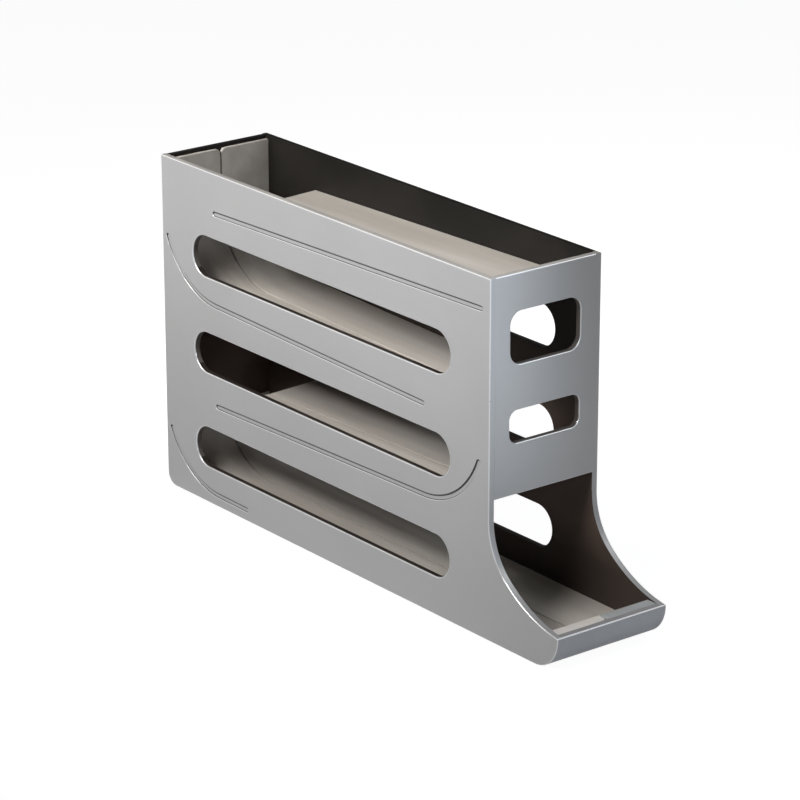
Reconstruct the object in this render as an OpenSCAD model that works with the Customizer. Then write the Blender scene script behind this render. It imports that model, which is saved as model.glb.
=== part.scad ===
// Egg dispenser: a tall, narrow, open-topped case that stands on its base.
// Four sloping tiers inside hand the load down from the top to a front tray.
// The open mouth looks along -Y, and the origin is under the middle of the case.

/* [Case] */
// Overall width across the two side panels
case_w = 80; // [76:1:96]
// Height of the case from its underside to its rim
case_h = 213; // [190:1:240]
// Depth of the tall body, from back face to front face
body_l = 315; // [312:1:330]
// How far the front tray reaches past the front face
tray_reach = 60.4; // [56:0.2:64]
// Thickness of the side, front and back panels
wall = 4; // [3.4:0.1:4.6]
// Outer radius where the back turns into the base
back_r = 8; // [6:0.5:12]
// Outer radius under the lip of the tray
lip_r = 20; // [12:0.5:20]
// Chamfer along the outer edges of the panels
edge_chamfer = 0.8; // [0.3:0.1:1.2]

/* [Mouth] */
// Height of the front panel's lower edge
mouth_top = 83.5; // [80:0.5:88]
// Height at which the side panels begin to flare forward
flare_z = 72; // [68:0.5:76]
// Radius of the upper, tighter arc of the flare
flare_r = 41; // [38:0.5:44]
// Angle that the upper arc of the flare sweeps
flare_sweep = 51; // [46:1:54]
// Height of the lip at the front of the tray, where the flare ends
lip_h = 21.2; // [20.6:0.1:24]

/* [Side slots] */
// Distance from the front face to the front end of the slots
slot_front = 34.5; // [30:0.5:50]
// Height of each viewing slot
slot_h = 26; // [18:0.5:27]
// Distance from the back face to the back end of the slots
slot_back = 32.1; // [28:0.1:40]
// Height of the middle of the lowest slot, as a share of the case's height
slot_low_share = 0.1718; // [0.165:0.0002:0.18]
// Height from one slot to the next, as a share of the case's height
slot_pitch_share = 0.2878; // [0.284:0.0002:0.291]
// Number of slots in each side panel
slot_count = 3; // [1:1:3]

/* [Engraved traces] */
// Width of the traces engraved in the side panels
trace_w = 2.4; // [1.6:0.1:3.4]
// Depth of the engraved traces
trace_depth = 0.6; // [0.3:0.1:1]
// How much wider than the trace the round ends of the curved traces are
trace_swell = 0.1; // [0.06:0.02:0.2]
// Distance from the front face to the front end of the highest trace
trace_front = 8; // [6:0.5:14]
// Distance from the front face to the end of the trace that curves up there
trace_turn_front = 9.3; // [7:0.1:14]
// Distance from the back face to the ends of the curved traces
trace_back = 5.8; // [5:0.2:12]
// Length of the straight part of the lowest trace
trace_low_l = 29; // [20:0.5:60]

/* [Front windows] */
// Width of the two front windows
window_w = 50.5; // [40:0.5:54]
// Height of the upper window
window_high_h = 31; // [24:0.5:32]
// Height of the middle of the upper window, as a share of the case's height
window_high_share = 0.823; // [0.81:0.001:0.83]
// Corner radius of the upper window
window_high_r = 8; // [4:0.5:10]
// Height of the lower window
window_low_h = 19.4; // [14:0.2:20]
// Height of the middle of the lower window, as a share of the case's height
window_low_share = 0.5798; // [0.57:0.0002:0.59]
// Corner radius of the lower window
window_low_r = 5.5; // [3:0.5:6]

/* [Tier rails] */
// Thickness of the rail plates
rail_t = 2.4; // [2:0.1:2.6]
// Seam between the left and right rails of a tier
rail_seam = 1.2; // [0.8:0.1:2.4]
// Slope of the three upper tiers, in degrees
rail_slope = 1.4; // [1.1:0.05:1.8]
// Slope of the lowest tier, in degrees
floor_slope = 0.5; // [0.3:0.05:0.55]
// Fall of each rail from the side panel to the seam, in degrees
rail_tilt = 2; // [0.5:0.25:2]
// Height of tier 1 at the middle of the body, as a share of the case's height
tier_1_share = 0.8948; // [0.89:0.0002:0.9]
// Height of tier 2 at the middle of the body, as a share of the case's height
tier_2_share = 0.5986; // [0.595:0.0002:0.605]
// Height of tier 3 at the middle of the body, as a share of the case's height
tier_3_share = 0.3192; // [0.315:0.0002:0.325]
// Height of tier 4 at the middle of the body
tier_4_z = 6.5; // [6.5:0.1:7.5]
// Clear drop between a free rail end and the back panel
drop_back = 51.3; // [48:0.1:56]
// Clear drop between a free rail end and the front panel
drop_front = 55; // [48:0.5:58]
// Radius of the curved turns at the back
turn_back_r = 56; // [54:0.5:60]
// Length of the turns at the back, from the panel to the straight rail
turn_back_l = 51.4; // [49:0.1:53]
// Radius of the curved turn at the front
turn_front_r = 54; // [54:0.5:58]
// Length of the turn at the front, from the panel to the straight rail
turn_front_l = 54.1; // [53:0.1:56]
// Height at which the turn at the front ends, as a share of the case's height
turn_front_share = 0.5164; // [0.49:0.0002:0.525]
// Radius of the turn that rises to the lip of the tray
lip_turn_r = 38; // [36:0.5:40]
// Rounding of the rail corners at the seam
rail_corner_r = 3; // [1:0.5:5]
// Gap from the rim down to the tallest rail ends
rim_gap = 2; // [1:0.5:6]
// Height of the stiffening flange under a rail
flange_h = 5; // [3:0.5:6]
// Thickness of the flanges and gusset ribs
rib_t = 1.6; // [1.2:0.1:2.2]
// Reach of the gusset ribs under a rail, from its flange
rib_reach = 24; // [12:1:30]

/* [Joints] */
// Clearance between neighbouring pieces
fit = 0.2; // [0.1:0.05:0.3]
// Depth of the tongues that enter the side panels
tongue_depth = 2; // [1.4:0.1:2.2]
// Thickness of the tongues
tongue_t = 1.2; // [0.8:0.1:1.6]
// Length of each tongue on a rail or on the base
tongue_l = 16; // [8:1:24]

/* [Tray and pads] */
// Thickness of the base plate
base_t = 2.2; // [1.8:0.1:2.3]
// Width of the soft strips behind the lip
lip_pad_w = 7; // [5:0.5:8]
// Thickness of the soft strips behind the lip
lip_pad_t = 2.6; // [2:0.1:3.2]
// Diameter of the foot pads
foot_d = 14; // [8:0.5:16]
// Height by which the foot pads stand out under the base
foot_stand = 0.8; // [0.4:0.1:1.2]
// Depth of the recess that holds each foot pad
foot_recess = 1; // [0.6:0.1:1.2]

/* [Hidden] */
$fn = 96;
// How far every cut runs past the face that it opens
over = 1;

total_l = body_l + tray_reach;
side_x = case_w / 2;
inner_x = side_x - wall;
tongue_x = inner_x + tongue_depth;

// Depths are measured from the back face towards the mouth
function at_d(d) = total_l / 2 - d;

flare_c = [body_l + flare_r, flare_z];
flare_reach = [cos(flare_sweep), sin(flare_sweep)];
flare_join = flare_c - flare_r * flare_reach;
// The lower arc goes on from the upper one and ends at the lip
flare_chord = [total_l, lip_h] - flare_join;
flare_low_r = flare_chord * flare_chord / (2 * flare_chord * flare_reach);
flare_low_c = flare_join + flare_low_r * flare_reach;
function flare_height(d) = flare_low_c[1] - sqrt(pow(flare_low_r, 2) - pow(d - flare_low_c[0], 2));

// Where the back panel stands on the tray, the room inside the tray, and the underside of the soft strips,
// which lie level with the ledge of the tray
back_foot_z = back_r + 2 * wall;
tray_inner_d = total_l - wall;
lip_pad_z = flare_height(tray_inner_d) - lip_pad_t;
tray_floor_r = lip_pad_z - base_t - fit;

// Rows of a tier: height, rise towards the mouth, slope, back end and front end of its straight plate
tier_rows = [
    [tier_1_share * case_h, 1, rail_slope, wall + drop_back, body_l - wall - fit],
    [tier_2_share * case_h, -1, rail_slope, wall + turn_back_l, body_l - wall - drop_front],
    [tier_3_share * case_h, 1, rail_slope, wall + drop_back, body_l - wall - turn_front_l],
    [tier_4_z, -1, floor_slope, wall + turn_back_l, tray_inner_d - lip_turn_r + rail_t + fit]
];
function tier_z(t, d) = tier_rows[t][0] + tier_rows[t][1] * tan(tier_rows[t][2]) * (d - body_l / 2);
function tier_lean(t) = -tier_rows[t][1] * tier_rows[t][2];
// Distance along a tier from its front end to another depth
function tier_x(t, d) = (tier_rows[t][4] - d) / cos(tier_rows[t][2]);
// Centre of a turn that leaves tier t at depth d with radius r
function turn_c(t, d, r) = [
    d - tier_rows[t][1] * r * sin(tier_rows[t][2]),
    tier_z(t, d) + r * cos(tier_rows[t][2])
];
// Height of such a turn at another depth
function turn_z(c, r, d) = c[1] - sqrt(pow(r, 2) - pow(d - c[0], 2));
// Angle that such a turn sweeps up to another depth, towards the back (1) or the mouth (-1)
function turn_sweep(t, d, r, side, d_end) =
    asin(side * (turn_c(t, d, r)[0] - d_end) / r) - side * tier_lean(t);

// Shares of a straight rail at which its tongues and its gusset ribs stand
tongue_shares = [0.12, 0.5, 0.88];
rib_shares = [0.08, 0.36, 0.64, 0.92];
base_tongue_shares = [0.12, 0.46, 0.8];

// Draws a [depth, height] outline as a slab between two places across the case
module across(x0, x1) {
    translate([x0, 0, 0]) rotate([90, 0, 90]) linear_extrude(x1 - x0) children();
}
module block(d0, z0, d1, z1) {
    translate([at_d(d1), z0]) square([d1 - d0, z1 - z0]);
}
module disc(c, r) {
    translate([at_d(c[0]), c[1]]) circle(r);
}
module both_sides() {
    children();
    mirror([1, 0, 0]) children();
}
module lifted() {
    translate([0, 0, foot_stand]) children();
}

// Puts an outline on tier t: its first axis runs from the front end to the back, its second stands off
module on_tier(t) {
    translate([at_d(tier_rows[t][4]), tier_z(t, tier_rows[t][4])]) rotate(tier_lean(t)) children();
}
module strip(x0, x1, w) {
    r = w / 2;
    polygon([[x0, -r], [x1, -r], [x1, r], [x0, r]]);
}
module round_end(x, w) {
    translate([x, 0]) circle(w / 2);
}
// Ring sector that goes on from the end of a strip, to the back (1) or to the mouth (-1)
module bend(x, r, w, side, sweep) {
    far = 2 * r;
    translate([x, r]) intersection() {
        difference() {
            circle(r + w / 2);
            circle(r - w / 2);
        }
        polygon([[0, 0], [0, -far], [side * far * tan(sweep / 2), -far],
                 [side * far * sin(sweep), -far * cos(sweep)]]);
    }
}

// Empty space in front of the body and above the flared side of the tray
module mouth_void() {
    block(body_l, flare_z, total_l + over, case_h + over);
    disc(flare_c, flare_r);
    intersection() {
        disc(flare_low_c, flare_low_r);
        block(flare_join[0] - over, 0, total_l + over, case_h);
    }
}
// A 45 degree cut along an upper edge of the outline, on its front (1) or back (-1) side
module edge_cut(d, z, side) {
    y0 = at_d(d) - side * over;
    far = edge_chamfer + over;
    polygon([[y0, z + over], [at_d(d) + side * far, z + over], [y0, z - far]]);
}
module case_outline() {
    difference() {
        block(0, 0, total_l, case_h);
        mouth_void();
        edge_cut(0, case_h, -1);
        edge_cut(body_l, case_h, 1);
        edge_cut(total_l, lip_h, 1);
        difference() {
            block(-over, -over, back_r, back_r);
            disc([back_r, back_r], back_r);
        }
        difference() {
            block(total_l - lip_r, -over, total_l + over, lip_r);
            disc([total_l - lip_r, lip_r], lip_r);
        }
    }
}

// Side panels

// A 45 degree cut round a hole in the outer face, from its straight sides and its round corners
module rim_cone(d, z, r) {
    translate([-side_x - over, at_d(d), z]) rotate([0, 90, 0])
        cylinder(h = edge_chamfer + over, r1 = r + edge_chamfer + over, r2 = r);
}
module side_slot(z) {
    r = slot_h / 2;
    d0 = slot_back + r;
    d1 = body_l - slot_front - r;
    across(-side_x - over, -inner_x + over) {
        block(d0, z - r, d1, z + r);
        disc([d0, z], r);
        disc([d1, z], r);
    }
    rim_cone(d0, z, r);
    rim_cone(d1, z, r);
    wide = r + edge_chamfer + over;
    translate([0, at_d(d0), z]) rotate([90, 0, 0]) linear_extrude(d1 - d0)
        polygon([[-side_x - over, wide], [-side_x + edge_chamfer, r],
                 [-side_x + edge_chamfer, -r], [-side_x - over, -wide]]);
}

// Traces with round ends that follow the tiers
module straight_trace(x0, x1) {
    strip(x0, x1, trace_w);
    round_end(x0, trace_w);
    round_end(x1, trace_w);
}
module turned_trace(x, r, side, sweep) {
    bend(x, r, trace_w, side, sweep);
    translate([x + side * r * sin(sweep), r - r * cos(sweep)]) circle((trace_w + trace_swell) / 2);
}
module traces() {
    t2 = tier_rows[1];
    t3 = tier_rows[2];
    t4 = tier_rows[3];
    across(-side_x - over, -side_x + trace_depth) {
        on_tier(0) straight_trace(tier_x(0, body_l - trace_front), tier_x(0, tier_rows[0][3]));
        on_tier(1) {
            straight_trace(0, tier_x(1, t2[3]));
            turned_trace(tier_x(1, t2[3]), turn_back_r, 1, turn_sweep(1, t2[3], turn_back_r, 1, trace_back));
        }
        on_tier(2) {
            straight_trace(0, tier_x(2, t3[3]));
            turned_trace(0, turn_front_r, -1,
                turn_sweep(2, t3[4], turn_front_r, -1, body_l - trace_turn_front));
        }
        on_tier(3) {
            straight_trace(tier_x(3, t4[3] + trace_low_l), tier_x(3, t4[3]));
            turned_trace(tier_x(3, t4[3]), turn_back_r, 1, turn_sweep(3, t4[3], turn_back_r, 1, trace_back));
        }
    }
}

// Chamfers along the outer edges of a side panel
module edge_prism() {
    x0 = -side_x - over;
    far = edge_chamfer + over;
    polygon([[x0, -over], [x0, far], [-side_x + far, -over]]);
}
module outer_chamfers() {
    // Rim
    translate([0, at_d(-over), case_h]) rotate([90, 0, 0]) linear_extrude(body_l + 2 * over)
        mirror([0, 1]) edge_prism();
    // Base
    translate([0, at_d(back_r), 0]) rotate([90, 0, 0]) linear_extrude(total_l - back_r - lip_r)
        edge_prism();
    // Back edge
    translate([0, at_d(0), back_r]) linear_extrude(case_h - back_r + over)
        mirror([0, 1]) edge_prism();
    // Front edge
    translate([0, at_d(body_l), flare_z]) linear_extrude(case_h - flare_z + over)
        edge_prism();
    // Lip edge
    translate([0, at_d(total_l), lip_r]) linear_extrude(lip_r)
        edge_prism();
    // Flare, upper and lower arc
    intersection() {
        rim_cone(flare_c[0], flare_c[1], flare_r);
        across(-side_x - over, -inner_x) block(body_l - 2 * wall, 0, flare_join[0], flare_z);
    }
    intersection() {
        rim_cone(flare_low_c[0], flare_low_c[1], flare_low_r);
        across(-side_x - over, -inner_x) block(flare_join[0] - over, 0, total_l + over, flare_z);
    }
    // Round corners at the back and under the lip
    corner_chamfer(back_r, 0, back_r, back_r);
    corner_chamfer(total_l - lip_r, total_l - lip_r, total_l, lip_r);
}
module corner_chamfer(c_d, d0, d1, r) {
    low = d0 == 0 ? -over : d0;
    high = d0 == 0 ? d1 : d1 + over;
    difference() {
        across(-side_x - over, -side_x + edge_chamfer) block(low, -over, high, r);
        translate([-side_x - over, at_d(c_d), r]) rotate([0, 90, 0])
            cylinder(h = edge_chamfer + over, r1 = r - edge_chamfer - over, r2 = r);
    }
}

// The pockets that take the tongues of the other pieces
module pocket(d0, z0, d1, z1) {
    across(-tongue_x - fit, -inner_x + over) block(d0 - fit, z0 - fit, d1 + fit, z1 + fit);
}
module rail_pockets(t) {
    row = tier_rows[t];
    for (s = tongue_shares) {
        d = row[3] + s * (row[4] - row[3]);
        translate([0, at_d(d), tier_z(t, d)]) rotate([tier_lean(t), 0, 0])
            translate([-tongue_x - fit, -tongue_l / 2 - fit, -tongue_t / 2 - fit])
                cube([tongue_depth + fit + over, tongue_l + 2 * fit, tongue_t + 2 * fit]);
    }
}
module side_panel() {
    lifted() difference() {
        across(-side_x, -inner_x) case_outline();
        for (i = [0 : slot_count - 1]) side_slot((slot_low_share + i * slot_pitch_share) * case_h);
        traces();
        outer_chamfers();
        front_tongue(pocketed = true);
        back_tongue(pocketed = true);
        base_tongues(pocketed = true);
        for (t = [0 : 3]) rail_pockets(t);
    }
}
module side_panel_left() {
    color([0.72, 0.73, 0.75]) side_panel();
}
module side_panel_right() {
    color([0.72, 0.73, 0.75]) mirror([1, 0, 0]) side_panel();
}

// Tongues shared by the panels and their pockets, drawn on the left side
module tongue_block(pocketed, d0, z0, d1, z1) {
    if (pocketed) pocket(d0, z0, d1, z1);
    else across(-tongue_x, -inner_x + over) block(d0, z0, d1, z1);
}
module front_tongue(pocketed = false) {
    d = body_l - wall / 2;
    tongue_block(pocketed, d - tongue_t / 2, mouth_top + 2 * wall, d + tongue_t / 2, case_h - 2 * wall);
}
module back_tongue(pocketed = false) {
    d = wall / 2;
    tongue_block(pocketed, d - tongue_t / 2, back_foot_z + 2 * wall, d + tongue_t / 2, case_h - 2 * wall);
}
module base_tongues(pocketed = false) {
    for (s = base_tongue_shares)
        tongue_block(pocketed, s * total_l, base_t / 2, s * total_l + tongue_l, base_t);
}

// Front and back panels
module window(z, h, r) {
    x = window_w / 2 - r;
    half = h / 2 - r;
    translate([0, at_d(body_l) + wall + over, z]) rotate([90, 0, 0]) linear_extrude(wall + 2 * over) {
        square([2 * x, h], center = true);
        square([window_w, 2 * half], center = true);
        for (a = [-x, x], b = [-half, half]) translate([a, b]) circle(r);
    }
    // 45 degree cut round the window in the front face
    wide = edge_chamfer + over;
    for (a = [-x, x], b = [-half, half])
        translate([a, at_d(body_l) + edge_chamfer, z + b]) rotate([90, 0, 0])
            cylinder(h = wide, r1 = r, r2 = r + wide);
    translate([-x, at_d(body_l), z]) rotate([90, 0, 90]) linear_extrude(2 * x) window_flank(h / 2);
    translate([0, at_d(body_l), z - half]) linear_extrude(2 * half) rotate(90) window_flank(window_w / 2);
}
module window_flank(reach) {
    wide = edge_chamfer + over;
    polygon([[-over, reach + wide], [edge_chamfer, reach], [edge_chamfer, -reach], [-over, -reach - wide]]);
}
module front_panel() {
    color([0.66, 0.68, 0.72]) lifted() {
        difference() {
            across(-inner_x, inner_x) intersection() {
                case_outline();
                block(body_l - wall, mouth_top, body_l, case_h);
            }
            window(window_high_share * case_h, window_high_h, window_high_r);
            window(window_low_share * case_h, window_low_h, window_low_r);
        }
        both_sides() front_tongue();
    }
}
module back_panel() {
    color([0.7, 0.71, 0.73]) lifted() {
        across(-inner_x, inner_x) intersection() {
            case_outline();
            block(0, back_foot_z, wall, case_h);
        }
        both_sides() back_tongue();
    }
}

// Base tray: the floor, the curled lip at the mouth and the foot of the back
module tray_outline() {
    difference() {
        case_outline();
        block(-over, back_foot_z, total_l - lip_r, case_h + over);
        block(wall, base_t + tray_floor_r, tray_inner_d, case_h);
        block(wall + tray_floor_r, base_t, tray_inner_d - tray_floor_r, case_h);
        disc([wall + tray_floor_r, base_t + tray_floor_r], tray_floor_r);
        disc([tray_inner_d - tray_floor_r, base_t + tray_floor_r], tray_floor_r);
    }
}
module foot_place(front) {
    d = front ? total_l - lip_r - foot_d / 2 - wall : back_r + foot_d / 2 + wall;
    translate([-inner_x + foot_d / 2 + wall / 2, at_d(d), 0]) children();
}
module bearer(d) {
    seat = tier_z(3, d) - rail_t / 2 - fit - rib_t * tan(floor_slope);
    drop = inner_x * sin(rail_tilt);
    translate([0, at_d(d) + rib_t / 2, 0]) rotate([90, 0, 0]) linear_extrude(rib_t)
        polygon([[-inner_x, base_t / 2], [-inner_x, seat], [0, seat - drop],
                 [inner_x, seat], [inner_x, base_t / 2]]);
}
module base_tray() {
    color([0.62, 0.63, 0.65]) lifted() {
        difference() {
            union() {
                across(-inner_x, inner_x) tray_outline();
                for (s = rib_shares) bearer(tier_rows[3][3] + s * (body_l - tier_rows[3][3]));
            }
            both_sides() for (front = [false, true]) foot_place(front)
                translate([0, 0, -over]) cylinder(h = foot_recess + over, d = foot_d + 2 * fit);
        }
        both_sides() base_tongues();
    }
}

// Tier rails: half-width plates that fall gently to the seam in the middle
module bend_plate(t, x, r, side, d_end) {
    intersection() {
        on_tier(t) bend(x, r, rail_t, side, 90);
        block(side > 0 ? d_end : 0, 0, side > 0 ? total_l : d_end, case_h);
    }
}
module tier_1_plate() {
    x = tier_x(0, tier_rows[0][3]);
    on_tier(0) {
        strip(0, x, rail_t);
        round_end(x, rail_t);
    }
}
module tier_2_plate() {
    d = tier_rows[1][3];
    back_d = wall + fit;
    on_tier(1) {
        strip(0, tier_x(1, d), rail_t);
        round_end(0, rail_t);
    }
    bend_plate(1, tier_x(1, d), turn_back_r, 1, back_d);
    block(back_d, turn_z(turn_c(1, d, turn_back_r), turn_back_r, back_d + rail_t / 2),
        back_d + rail_t, case_h);
}
module tier_3_plate() {
    x = tier_x(2, tier_rows[2][3]);
    on_tier(2) {
        strip(0, x, rail_t);
        round_end(x, rail_t);
    }
    bend_plate(2, 0, turn_front_r, -1, body_l - wall - fit);
}
module tier_4_plate() {
    x = tier_x(3, tier_rows[3][3]);
    on_tier(3) strip(0, x, rail_t);
    bend_plate(3, x, turn_back_r, 1, wall + fit);
    bend_plate(3, 0, lip_turn_r, -1, tray_inner_d - fit);
}

// Room of one half rail: from the side panel to the seam, up to a height, with a round upper corner
module half_room(top) {
    x0 = -inner_x + fit;
    x1 = -rail_seam / 2;
    r = rail_corner_r;
    translate([0, at_d(-over), 0]) rotate([90, 0, 0]) linear_extrude(total_l + 2 * over) {
        translate([x0, 0]) square([x1 - x0 - r, top]);
        translate([x0, 0]) square([x1 - x0, top - r]);
        translate([x1 - r, top - r]) circle(r);
    }
}
module rail_tongues(t) {
    row = tier_rows[t];
    for (s = tongue_shares) {
        d = row[3] + s * (row[4] - row[3]);
        translate([0, at_d(d), tier_z(t, d)]) rotate([tier_lean(t), 0, 0])
            translate([-tongue_x, -tongue_l / 2, -tongue_t / 2])
                cube([tongue_depth + 2 * fit, tongue_l, tongue_t]);
    }
}
module rail_flange(t) {
    across(-inner_x + fit, -inner_x + fit + rib_t) on_tier(t)
        translate([rib_t, -flange_h]) square([tier_x(t, tier_rows[t][3]) - 2 * rib_t, flange_h]);
}
module rail_ribs(t) {
    row = tier_rows[t];
    x0 = -inner_x + fit + rib_t / 2;
    for (s = rib_shares) {
        d = row[3] + s * (row[4] - row[3]);
        translate([0, at_d(d), tier_z(t, d)]) rotate([tier_lean(t) + 90, 0, 0])
            translate([0, 0, -rib_t / 2]) linear_extrude(rib_t)
                polygon([[x0, 0], [x0 + rib_reach, -rib_reach * sin(rail_tilt)],
                         [x0, rail_t / 2 - flange_h]]);
    }
}
// The plate of tier t, tilted about its outer edge and cut to the room of one half
module tilted_half(t, top) {
    intersection() {
        translate([-inner_x, 0, tier_rows[t][0]]) rotate([0, rail_tilt, 0])
            translate([0, 0, -tier_rows[t][0]]) across(-2 * wall, inner_x + 2 * wall) children();
        half_room(top);
    }
}
module braced_rail(t, top) {
    color([0.78, 0.76, 0.73]) lifted() {
        tilted_half(t, top) children();
        rail_tongues(t);
        rail_flange(t);
        rail_ribs(t);
    }
}
module tier_1_rail_left() {
    braced_rail(0, case_h - rim_gap) tier_1_plate();
}
module tier_2_rail_left() {
    braced_rail(1, case_h - rim_gap) tier_2_plate();
}
module tier_3_rail_left() {
    braced_rail(2, turn_front_share * case_h) tier_3_plate();
}
module tier_4_rail_left() {
    row = tier_rows[3];
    color([0.78, 0.76, 0.73]) lifted() {
        difference() {
            tilted_half(3, case_h - rim_gap) tier_4_plate();
            across(-case_w, case_w) block(row[4], lip_pad_z, total_l + over, case_h);
        }
        rail_tongues(3);
    }
}
module tier_1_rail_right() mirror([1, 0, 0]) tier_1_rail_left();
module tier_2_rail_right() mirror([1, 0, 0]) tier_2_rail_left();
module tier_3_rail_right() mirror([1, 0, 0]) tier_3_rail_left();
module tier_4_rail_right() mirror([1, 0, 0]) tier_4_rail_left();

// Soft strips that stop the load behind the lip
module lip_pad_left() {
    x0 = -inner_x + fit;
    x1 = -rail_seam / 2;
    d1 = tray_inner_d - fit;
    r = rail_corner_r;
    color([0.82, 0.8, 0.78]) lifted() intersection() {
        across(x0, x1) block(d1 - lip_pad_w, lip_pad_z, d1, lip_pad_z + lip_pad_t);
        linear_extrude(case_h) {
            translate([x0, at_d(d1)]) square([x1 - x0 - r, lip_pad_w]);
            translate([x0, at_d(d1) + r]) square([x1 - x0, lip_pad_w - r]);
            translate([x1 - r, at_d(d1) + r]) circle(r);
        }
    }
}
module lip_pad_right() mirror([1, 0, 0]) lip_pad_left();

// Foot pads
module foot_pad(front) {
    color([0.25, 0.25, 0.26]) foot_place(front)
        cylinder(h = foot_stand + foot_recess, d = foot_d);
}
module foot_pad_front_left() foot_pad(true);
module foot_pad_front_right() mirror([1, 0, 0]) foot_pad(true);
module foot_pad_back_left() foot_pad(false);
module foot_pad_back_right() mirror([1, 0, 0]) foot_pad(false);

side_panel_left();
side_panel_right();
front_panel();
back_panel();
base_tray();
tier_1_rail_left();
tier_1_rail_right();
tier_2_rail_left();
tier_2_rail_right();
tier_3_rail_left();
tier_3_rail_right();
tier_4_rail_left();
tier_4_rail_right();
lip_pad_left();
lip_pad_right();
foot_pad_front_left();
foot_pad_front_right();
foot_pad_back_left();
foot_pad_back_right();
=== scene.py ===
# %% [markdown]
# # A dispenser that hands down its load from tier to tier
#
# The object is a tall, narrow case with an open top and an open mouth. Two slotted side panels hold a front
# panel with two windows, a back panel, a base tray and four sloping tiers of light-grey rails.
# The packed model gives every place and size, so the first step loads it.

# %% Load the frame
import bpy
import bmesh
from collections import namedtuple
from math import asin, atan2, cos, degrees, radians, sin, sqrt, tan
from mathutils import Matrix, Vector


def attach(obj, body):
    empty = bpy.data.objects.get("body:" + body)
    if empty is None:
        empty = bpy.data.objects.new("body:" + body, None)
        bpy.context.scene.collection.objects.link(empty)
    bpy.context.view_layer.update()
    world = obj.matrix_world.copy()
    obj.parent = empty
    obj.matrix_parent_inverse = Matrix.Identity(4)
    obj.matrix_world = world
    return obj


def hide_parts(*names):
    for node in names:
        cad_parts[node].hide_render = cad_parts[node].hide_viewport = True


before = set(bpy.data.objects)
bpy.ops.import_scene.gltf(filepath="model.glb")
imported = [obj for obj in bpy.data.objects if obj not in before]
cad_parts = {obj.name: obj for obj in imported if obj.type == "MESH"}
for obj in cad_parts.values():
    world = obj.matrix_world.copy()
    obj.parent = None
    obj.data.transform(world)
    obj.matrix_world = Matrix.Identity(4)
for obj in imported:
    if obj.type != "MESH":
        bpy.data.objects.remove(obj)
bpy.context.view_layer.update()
MM = 1000    # millimetres in a metre


# %% [markdown]
# ## Camera
#
# The picture is taken with a long lens from a little above, and it looks at the left side and the mouth.
# A long lens keeps the vertical edges almost parallel. The camera is set from its place and the direction in
# which it looks, because those two can be worked out from the straight edges of the case. The lamps are
# aimed in the same way later.

# %% Camera
LENS, SENSOR, FAR_CLIP = 163.09, 36, 60    # the first two in mm, the last in metres
CAMERA_PLACE, CAMERA_LOOK = (-1.2322, -1.5700, 0.8159), (0.5803, 0.7410, -0.3378)


def aimed(name, data, place, direction):
    """Puts a camera or a lamp at a place and turns it to look along a direction."""
    made = bpy.data.objects.new(name, data)
    made.location = place
    made.rotation_mode = "QUATERNION"
    made.rotation_quaternion = Vector(direction).to_track_quat("-Z", "Y")
    bpy.context.scene.collection.objects.link(made)
    return made


camera = aimed("camera", bpy.data.cameras.new("camera"), CAMERA_PLACE, CAMERA_LOOK)
camera.data.lens, camera.data.sensor_width, camera.data.clip_end = LENS, SENSOR, FAR_CLIP
bpy.context.scene.camera = camera
print("camera stands", round(camera.location.length, 3), "m from the middle of the base")

# %% [markdown]
# ## Shader expressions
#
# A finish changes a little from place to place, and its pattern is a sum of noises. It could be wired link
# by link, but a sum is easier to read. Field wraps a socket of a node tree and understands plus and times,
# also with a number on its left.

# %% Field
class Field:
    """A number that varies over a surface."""

    def __init__(self, finish, socket):
        self.finish, self.socket = finish, socket

    def _with(self, operation, a, b):
        node = self.finish.node("ShaderNodeMath", {"operation": operation}, {0: a, 1: b})
        return Field(self.finish, node.outputs[0])

    def __add__(self, other): return self._with("ADD", self, other)
    def __radd__(self, other): return self._with("ADD", other, self)
    def __mul__(self, other): return self._with("MULTIPLY", self, other)
    def __rmul__(self, other): return self._with("MULTIPLY", other, self)


print("a field understands", [name for name in vars(Field) if name.endswith(("add__", "mul__"))])

# %% [markdown]
# ## Making a finish
#
# Finish is one material. A single method makes any node from its type, its settings and what goes into its
# sockets. The others make the few patterns that this object needs: noise for grain and flakes, height for
# what changes low down, a ramp for steps, a mix of two shades, and relief. All of them read Object
# coordinates, so a pattern stays on its piece wherever the piece goes.

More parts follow.
